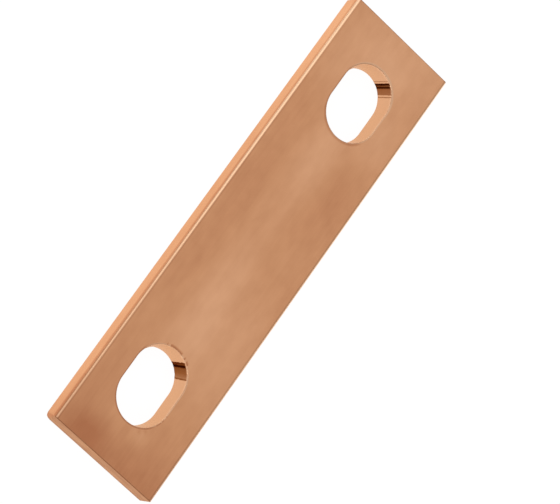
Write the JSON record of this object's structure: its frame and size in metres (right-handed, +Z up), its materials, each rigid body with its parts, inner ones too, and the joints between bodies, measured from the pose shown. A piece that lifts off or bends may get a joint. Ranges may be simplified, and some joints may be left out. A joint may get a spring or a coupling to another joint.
{
  "type": "connecting busbar",
  "caption": "Flat copper connecting busbar with rounded long edges and a bolt slot near each end, for bridging two terminals.",
  "frame": {"origin": "centre of the bottom face, which the bar lies on", "axes": "+X along the bar, towards the slot with the soft rim; +Y across the bar; +Z up out of the face that the picture shows"},
  "size_m": [0.1, 0.025, 0.005],
  "materials": {
    "rolled_copper": "satin"
  },
  "bodies": {
    "root": {"link_plate": "rolled_copper"}
  },
  "joints": []
}
